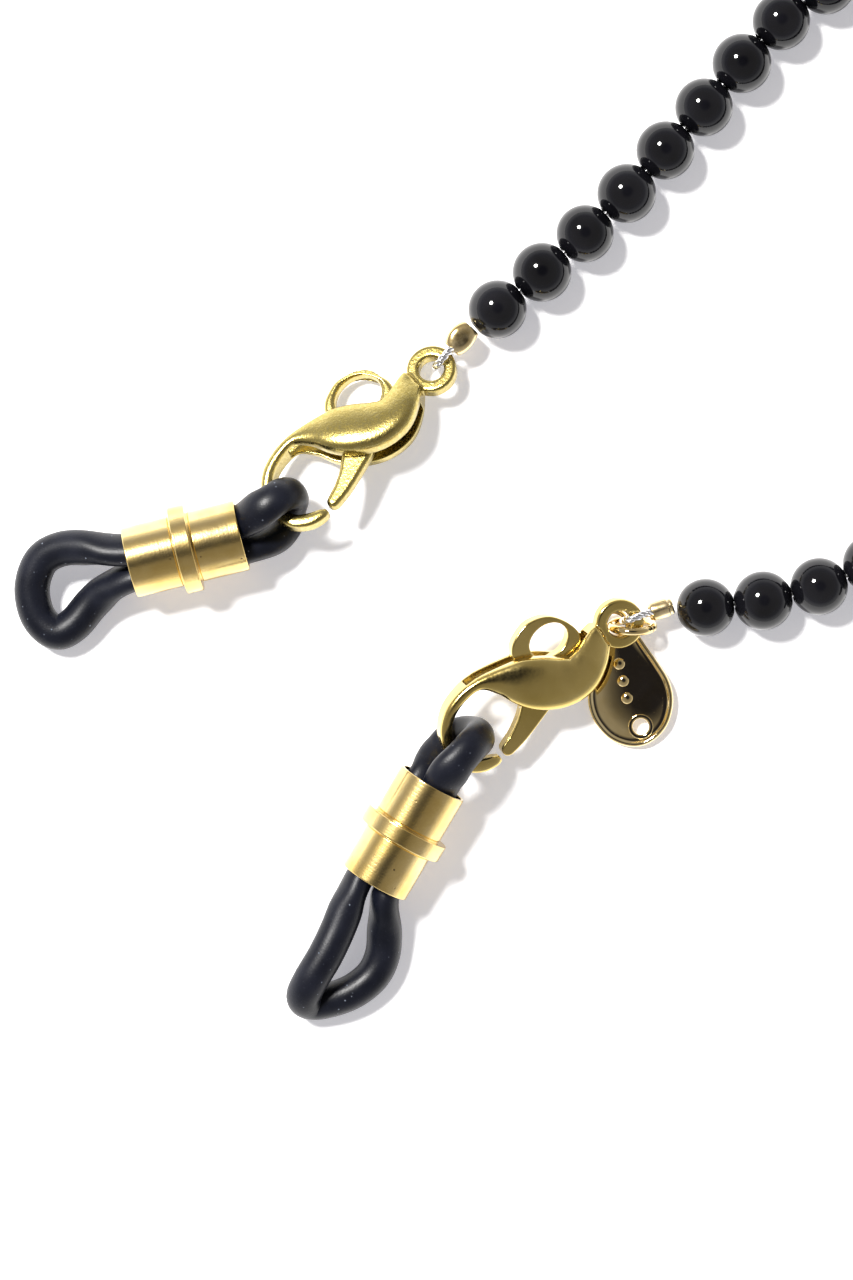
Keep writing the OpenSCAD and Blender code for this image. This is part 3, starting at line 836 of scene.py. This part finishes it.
# Stations from the eyelet to the hook's tip: x, y, half width, half thickness, and edge height
CASTING = [
    (-1.35, 0.2, 0.5, 0.72, 0.4), (-1.5, 0.2, 0.78, 0.95, 0.6), (-1.8, 0.12, 0.9, 1.1, 0.72),
    (-3, -0.55, 1.22, 1.6, 0.92), (-4.3, -0.92, 1.52, 1.85, 0.94), (-5.6, -0.6, 1.74, 1.9, 0.94),
    (-6.8, 0.24, 1.82, 1.9, 0.94), (-7.9, 1.18, 1.56, 1.75, 0.94), (-9, 2.05, 0.9, 1.45, 0.92),
    (-10.2, 2.68, 0.42, 1.2, 0.8), (-11.5, 2.65, 0.38, 1.05, 0.7), (-12.8, 2.2, 0.4, 0.95, 0.6),
    (-13.75, 1.35, 0.4, 0.8, 0.5), (-14.2, 0.3, 0.4, 0.65, 0.4), (-14.25, -0.7, 0.42, 0.6, 0.4),
    (-13.9, -1.65, 0.46, 0.6, 0.4), (-13.1, -2.3, 0.46, 0.6, 0.4),
    (-12.2, -2.6, 0.36, 0.55, 0.35), (-11.8, -2.62, 0.2, 0.4, 0.25)]

# Each clasp's crown, which comes in where the half thickness passes CHEEK_FROM
CROWN_FLATNESS = (0.35, 0.45)
CROWN_LEAN = (-0.35, -0.05)
CHEEK_FROM = 0.8
CHEEK_RANGE = 0.8

# The slot for the trigger along the casting, and the eyelet's bore, rim and half thickness
SLOT_X = (-10.9, -2.2)
SLOT_REACH = 4.5
EYELET_BORE_R = 0.86
EYELET_R = 1.7
EYELET_HALF_T = 0.55


def casting_ring(end, at, across, half_w, half_t, edge, count=25):
    """One section: where it swells into the cheek its crown flattens and its ridge moves aside."""
    cheek = clamp01((half_t - CHEEK_FROM) / CHEEK_RANGE)
    top = []
    for j in range(count):
        a = math.pi * j / (count - 1)
        rise = max(math.sin(a), 0.0) ** (1 - CROWN_FLATNESS[end] * cheek)
        rise *= 1 - CROWN_LEAN[end] * cheek * math.cos(a)
        top.append((half_w * math.cos(a), edge + (half_t - edge) * rise))
    section = top + [(u, -z) for u, z in reversed(top)]
    return [at + across * u + UP * z for u, z in section]


def make_eyelet():
    corners = [(EYELET_BORE_R, -EYELET_HALF_T), (EYELET_R, -EYELET_HALF_T),
               (EYELET_R, EYELET_HALF_T), (EYELET_BORE_R, EYELET_HALF_T)]
    profile = rounded_profile(corners, 0.24, steps=5)
    return loft("eyelet", lathe_points(profile, 72), closed=True, place=False)


def make_casting(end):
    """Hook, slotted cheeks and eyelet, melted into one casting."""
    line = smooth_line(CASTING, 8)
    flat = line[:, :3] * (1, 1, 0)
    rings = []
    for i, station in enumerate(line):
        across = np.cross(UP, heading(flat, i))
        rings.append(casting_ring(end, flat[i], across, *station[2:]))
    body = loft("body", rings, place=False)
    low = (SLOT_X[0], -SLOT_REACH, -SLOT_W / 2)
    high = (SLOT_X[1], SLOT_REACH, SLOT_W / 2)
    cut(body, box_piece(low, high))
    casting = join("clasp_%s_casting" % LETTER[end], [body, make_eyelet()])
    fuse_by_voxels(casting, voxel=0.055, rounds=5)
    return settle(casting, clasp_place(end))


TRIGGER_OUTLINE = [
    (-6.9, 3.3), (-6.3, 3.68), (-5.35, 3.97), (-4.45, 3.85), (-3.6, 3.4), (-3.0, 2.6), (-2.66, 1.7),
    (-2.68, 1.05), (-3.1, 0.3), (-3.95, -0.3), (-5.0, -0.8), (-6.0, -1.35), (-7.1, -1.82),
    (-8.2, -2.18), (-9.6, -2.62), (-10.75, -2.84), (-11.2, -2.84), (-11.48, -2.6), (-11.42, -2.15),
    (-10.9, -1.88), (-10.3, -1.64), (-9.4, -1.12), (-8.75, -0.58), (-7.9, 0.2), (-7.45, 1.1),
    (-7.35, 2.2), (-7.25, 2.8)]

# Thumb ring's hole: centre, half length, half width, and how far the plate's edges are rounded
THUMB_HOLE = [(-4.85, 2.08, 1.72, 1.4, 0.3), (-4.62, 2.1, 1.42, 1.08, 0.1)]


def draw_plate(outlines, rounding):
    """The trigger's mesh, a plate with rounded edges; outlines after the first are holes."""
    curve = bpy.data.curves.new("trigger", "CURVE")
    curve.dimensions = "2D"
    curve.fill_mode = "BOTH"
    curve.bevel_depth = rounding
    curve.bevel_resolution = 4
    curve.offset = -rounding
    curve.extrude = TRIGGER_T / 2 - rounding
    for points in outlines:
        spline = curve.splines.new("POLY")
        spline.points.add(len(points) - 1)
        spline.use_cyclic_u = True
        for at, (x, y) in zip(spline.points, points):
            at.co = (x, y, 0, 1)
    drawn = add_object("trigger", curve)
    bpy.context.view_layer.update()
    graph = bpy.context.evaluated_depsgraph_get()
    mesh = bpy.data.meshes.new_from_object(drawn.evaluated_get(graph))
    bpy.data.objects.remove(drawn)
    bm = bmesh.new()
    bm.from_mesh(mesh)
    bmesh.ops.remove_doubles(bm, verts=bm.verts, dist=0.002)
    bmesh.ops.recalc_face_normals(bm, faces=bm.faces)
    bm.to_mesh(mesh)
    bm.free()
    return mesh


def make_trigger(end):
    """A flat plate with softly rounded edges, from its outline and the thumb ring's hole."""
    outline = smooth_line(TRIGGER_OUTLINE, 5, closed=True)
    x, y, half_l, half_w, rounding = THUMB_HOLE[end]
    hole = [(x + half_l * math.cos(a), y + half_w * math.sin(a)) for a in round_angles(56)]
    mesh = draw_plate([outline, hole], rounding)
    trigger = add_object("trigger_%s_plate" % LETTER[end], mesh)
    fuse_by_voxels(trigger, voxel=0.05, rounds=3)
    return settle(trigger, clasp_place(end))


def make_spring(end):
    """Torsion spring: a leg on the gate, turns round the pin, and a leg along the hook's arm."""
    leg_l = 2.75
    leg_angle = math.radians(204)
    hook_leg = (-3.9, 2.0, 0.44)
    coil_r = 0.85
    coil_start = 277
    coil_turn = 525.5
    coil_steps = 48
    coil_low = 0.22
    coil_rise = 0.22
    points = [(leg_l * math.cos(leg_angle), leg_l * math.sin(leg_angle), coil_low)]
    for k in range(coil_steps + 1):
        a = math.radians(coil_start + coil_turn * k / coil_steps)
        z = coil_low + coil_rise * k / coil_steps
        points.append((coil_r * math.cos(a), coil_r * math.sin(a), z))
    points.append(hook_leg)
    path = np.array(points) + PIVOT
    rings = tube_rings(path, [UP] * len(path), radius=0.095, sides=12)
    spring = loft("spring_%s_wire" % LETTER[end], rings, place=False)
    return settle(spring, clasp_place(end))


# ------------------------------------------------------------------ rubber ring and sleeve

def strand_points(end, side):
    """Middle line of one of the two strands in a sleeve; the pair may turn along its length."""
    out = []
    for t in (0, 0.25, 0.5, 0.75, 1):
        a = math.radians(PAIR_ANGLE[end][0] * (1 - t) + PAIR_ANGLE[end][1] * t)
        offset = side * PAIR_OFFSET
        p = ((t - 0.5) * SLEEVE_L, offset * math.cos(a), offset * math.sin(a))
        out.append(SLEEVE_AT[end] + turned(SLEEVE_TURN[end], p))
    return out


def cord_size(along, from_bar):
    """The cord's half thickness and half width, along the sleeve's axis and near the hook."""
    k = clamp01((abs(along) - SLEEVE_L / 2 - SLEEVE_PLAY) / SQUEEZE_RUN)
    k = k * k * (3 - 2 * k)
    bend = clamp01(1 - from_bar / BEND_REACH)
    thick = SQUEEZED[0] * (1 - k) + (RUBBER_R - BEND_THINNING * bend) * k
    wide = SQUEEZED[1] * (1 - k) + RUBBER_R * k
    return thick, wide


def make_rubber_ring(end):
    """One closed cord: squeezed in the sleeve, round in the temple loop, thin over the hook."""
    near_side = strand_points(end, -1)
    far_side = strand_points(end, 1)[::-1]
    path = smooth_line([*TEMPLE[end], *near_side, *HOOK_LOOP[end], *far_side], 9, closed=True)
    n = len(path)
    axis = turned(SLEEVE_TURN[end], (1, 0, 0))
    temple = np.array(TEMPLE[end])
    loop_mid = (temple[2] + temple[-3]) / 2
    bar = EYELET[end] + turned(CLASP_TURN[end], HOOK_BAR)
    mouths = [SLEEVE_AT[end] - axis * SLEEVE_L / 2, SLEEVE_AT[end] + axis * SLEEVE_L / 2]
    outward = []
    for p in path:
        s = (p - SLEEVE_AT[end]) @ axis
        if s < -SLEEVE_L / 2:
            middle = nearest(p, mouths[0], loop_mid)
        elif s > SLEEVE_L / 2:
            middle = nearest(p, mouths[1], bar)
        else:
            middle = SLEEVE_AT[end] + axis * s
        outward.append(p - middle)
    neighbours = range(-4, 5)
    rings = []
    for i, p in enumerate(path):
        t = unit(path[(i + 1) % n] - path[i - 1])
        e1, e2 = square_axes(t, sum(outward[(i + k) % n] for k in neighbours))
        along = (p - SLEEVE_AT[end]) @ axis
        thick, wide = cord_size(along, np.linalg.norm(p - bar))
        rings.append(oval(p, e1, e2, thick, wide, sides=36))
    ring = loft("rubber_%s_cord" % LETTER[end], rings, closed=True)
    return soften_surface(ring, rounds=6)


def make_sleeve(end):
    """Turned tube with a collar and a shallow groove at each side of it; both halves are alike."""
    h = SLEEVE_L / 2
    c = COLLAR_W / 2
    groove_r = SLEEVE_R - 0.05
    half = [(SLEEVE_BORE_R, -h), (SLEEVE_R, -h), (SLEEVE_R, -c - 0.16), (groove_r, -c - 0.1),
            (groove_r, -c), (COLLAR_R, -c)]
    half_rounding = [0.04, 0.1, 0.02, 0.02, 0.02, 0.1]
    corners = half + [(r, -z) for r, z in reversed(half)]
    profile = rounded_profile(corners, half_rounding + half_rounding[::-1])
    rings = lathe_points(profile, 144)
    sleeve = loft("sleeve_%s_tube" % LETTER[end], rings, closed=True, place=False)
    sleeve.data.transform(Matrix.Rotation(math.pi / 2, 4, "Y"))
    settle(sleeve, placing(SLEEVE_AT[end], SLEEVE_TURN[end]))
    sharpen(sleeve, 40)
    return sleeve


# ------------------------------------------------------------------ jump ring and tag

def make_jump_ring():
    """Round wire bent to a ring, with its butted ends just showing as a hairline cut."""
    rings = []
    half_cut = 0.012
    cut_at = math.radians(35)
    for a in np.linspace(half_cut, 2 * math.pi - half_cut, 120):
        a += cut_at
        out = np.array([math.cos(a), math.sin(a), 0.0])
        rings.append([out * (RING_R + RING_WIRE_R * math.cos(b)) + UP * RING_WIRE_R * math.sin(b)
                      for b in round_angles(28)])
    ring = loft("jump_ring_wire", rings, place=False)
    return settle(ring, placing(RING_AT, RING_TURN))


def tag_ring(share, inset, z):
    """The outline moved in towards the tag's middle line, then shrunk towards it."""
    other_half = [(-x, y) for x, y in TAG_HALF[-2:0:-1]]
    ring = []
    for p in smooth_line(TAG_HALF + other_half, 10, closed=True):
        middle = nearest(p, np.array([0.0, 0.0]), np.array([0.0, -TAG_L]))
        out = p - middle
        ring.append((*(middle + unit(out) * (np.linalg.norm(out) - inset) * share), z))
    return ring


def make_tag():
    """Thin plate with a rolled, raised rim round a slightly domed field.

    Each layer is a share, an inset and a height, from the middle of the back to that of the front.
    """
    h = TAG_T / 2
    back = [(0.01, 0.3, -h), (0.5, 0.3, -h), (1, 0.3, -h), (1, 0.14, -h), (1, 0.04, -h + 0.06)]
    rim = [(1, 0.0, -h + 0.16), (1, 0.0, h - 0.06), (1, 0.03, h + 0.02), (1, 0.09, h + 0.07),
           (1, 0.17, h + 0.085), (1, 0.25, h + 0.07), (1, 0.31, h + 0.02), (1, 0.36, h - 0.03),
           (1, 0.42, h - 0.045)]
    field = [(0.9, 0.42, h), (0.7, 0.42, h + 0.07), (0.45, 0.42, h + 0.12),
             (0.2, 0.42, h + 0.145), (0.01, 0.42, h + 0.15)]
    rings = [tag_ring(*layer) for layer in back + rim + field]
    plate = loft("plate", rings, place=False)
    cut(plate, cylinder_piece(0, 0, TAG_HOLE_R, -2, 2))
    cut(plate, cylinder_piece(*GROMMET_AT, GROMMET_HOLE_R, -2, 2))
    tag = join("hang_tag_plate", [plate] + tag_ornament(h))
    settle(tag, placing(TAG_AT, TAG_TURN))
    sharpen(tag, 45)
    return tag


def tag_ornament(h):
    """Plain raised ornament in place of lettering: a row of rounds, each with a soft crown."""
    rounds = []
    round_r = 0.42
    round_x = -0.2
    foot = h + 0.08
    rise = 0.2
    least_r = 0.001
    for y in (-2.6, -3.8, -5.0):
        rings = []
        for a in np.linspace(0, math.pi / 2, 9):
            r = max(round_r * math.cos(a), least_r)
            z = foot + rise * math.sin(a)
            rings.append([(round_x + r * math.cos(b), y + r * math.sin(b), z)
                          for b in round_angles(40)])
        rounds.append(loft("round", rings, place=False))
    return rounds


def make_grommet():
    """A short tube through the tag with a rounded flange on its front."""
    h = TAG_T / 2
    bore_r = 0.55
    neck_r = 0.7
    flange_r = 0.86
    top = h + 0.2
    corners = [(bore_r, -h), (neck_r, -h), (neck_r, h), (flange_r, h), (flange_r, top),
               (bore_r, top)]
    profile = rounded_profile(corners, [0.05, 0.02, 0.02, 0.05, 0.13, 0.13], steps=6)
    rings = lathe_points(profile, 64)
    grommet = loft("tag_grommet_ring", rings, closed=True, place=False)
    grommet.data.transform(Matrix.Translation((*GROMMET_AT, 0)))
    return settle(grommet, placing(TAG_AT, TAG_TURN))


# ------------------------------------------------------------------ putting it together

make_camera()

onyx = black_onyx()
wire_steel = bright_steel("wire_steel", (0.80, 0.80, 0.82), 0.12, 0.28)
pin_steel = bright_steel("pin_steel", (0.62, 0.58, 0.50), 0.25, 0.40)
spring_steel = bright_steel("spring_steel", (0.66, 0.66, 0.66), 0.12, 0.25)
crimp_gold = crimp_brass()
mirror = mirror_gold()
rubber = black_rubber()
golds = [satin_gold(), polished_gold()]

bead_nodes = [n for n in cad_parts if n.startswith("beads_")]
beads = finish_piece(make_beads(), onyx, "strand", "black_onyx", *bead_nodes)
wire = finish_piece(make_wire(), wire_steel, "strand", "bead_wire", "beading_wire")
crimps = [finish_piece(make_crimp(e), crimp_gold, "strand", "crimp_brass", "crimp_" + LETTER[e])
          for e in (0, 1)]

for e in (0, 1):
    letter = LETTER[e]
    gold_slot = ("satin_gold_a", "polished_gold_b")[e]
    clasp_body = "clasp_" + letter
    finish_piece(make_casting(e), golds[e], clasp_body, gold_slot, "clasp_body_" + letter)
    finish_piece(make_trigger(e), golds[e], "trigger_" + letter, gold_slot, "trigger_" + letter)
    finish_piece(make_spring(e), spring_steel, clasp_body, "spring_steel", "spring_" + letter)
    finish_piece(make_rubber_ring(e), rubber, "rubber_" + letter, "black_rubber",
                 "rubber_ring_" + letter)
    brass = turned_brass("turned_brass_" + letter, turned(SLEEVE_TURN[e], (1, 0, 0)))
    finish_piece(make_sleeve(e), brass, "sleeve_" + letter, "turned_brass", "sleeve_" + letter)
    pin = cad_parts["pivot_pin_" + letter]
    pin.data.materials.clear()
    pin.data.materials.append(pin_steel)

finish_piece(make_jump_ring(), mirror, "jump_ring", "mirror_gold", "jump_ring")
finish_piece(make_tag(), mirror, "tag", "mirror_gold", "hang_tag")
finish_piece(make_grommet(), mirror, "tag", "mirror_gold", "tag_grommet")

make_lamp()
make_world()
make_table()
